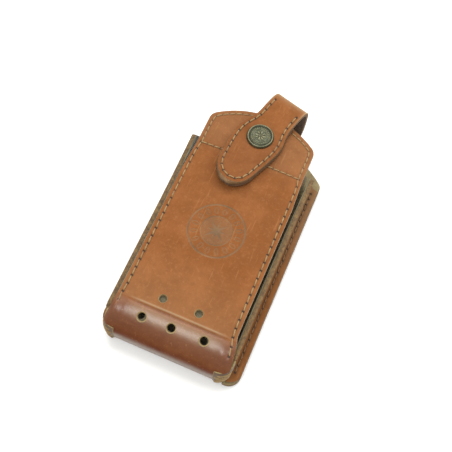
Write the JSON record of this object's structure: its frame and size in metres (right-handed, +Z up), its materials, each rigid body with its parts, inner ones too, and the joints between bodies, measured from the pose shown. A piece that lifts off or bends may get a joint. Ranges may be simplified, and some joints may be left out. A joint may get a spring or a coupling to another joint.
{
  "type": "leather snap case",
  "caption": "Stitched leather carrying case with a fold-down front, side gussets, a rolled perforated toe, a belt loop and a snap closure strap.",
  "frame": {"origin": "middle of the belt loop's outer face, which the case rests on when it lies on its back", "axes": "+X to the case's right, +Y from the toe to the closure strap, +Z up out of the front panel"},
  "size_m": [0.082, 0.1616, 0.0325],
  "materials": {
    "case_leather": "tan vegetable-tanned leather, satin, polished over the toe",
    "back_leather": "darker tan leather with a khaki flesh side",
    "lining": "dark olive suede-like cloth",
    "thread": "waxed khaki cotton thread",
    "snap_metal": "antiqued brass, darkened in the hollows"
  },
  "bodies": {
    "shell": {"back_panel": "back_leather", "back_lining": "lining", "gusset_right": "case_leather", "gusset_left": "case_leather", "gusset_lining_right": "lining", "gusset_lining_left": "lining", "toe": "case_leather", "toe_lining": "lining", "corner_stitching_right": "thread", "corner_stitching_left": "thread", "flange_seam_right": "thread", "flange_seam_left": "thread", "toe_side_seam_right": "thread", "toe_side_seam_left": "thread", "toe_tail_seam": "thread", "belt_loop": "back_leather", "belt_loop_seam_upper": "thread", "belt_loop_seam_lower": "thread", "strap_riser": "case_leather", "strap_tail_seam": "thread"},
    "front_flap": {"front_panel": "case_leather", "front_lining": "lining", "front_patch": "back_leather", "front_seam": "thread", "patch_seam": "thread", "snap_stud": "snap_metal", "snap_stud_rivet": "snap_metal"},
    "closure_strap": {"strap_outer": "case_leather", "strap_under": "back_leather", "strap_seam": "thread", "snap_cap": "snap_metal", "snap_socket": "snap_metal"}
  },
  "joints": [
    {"name": "strap_bend", "type": "hinge", "parent": "shell", "child": "closure_strap", "pos_m": [0.00808, 0.09117, 0.03092], "axis": [-0.9636, 0.2672, 0], "range_deg": [0, 160]},
    {"name": "crease_fold", "type": "hinge", "parent": "shell", "child": "front_flap", "pos_m": [0, -0.049, 0.0252], "axis": [1, 0, 0], "range_deg": [0, 19.2]}
  ],
  "couplings": [
    {"joint": "crease_fold", "follows": "strap_bend", "ratio": 0.12}
  ]
}
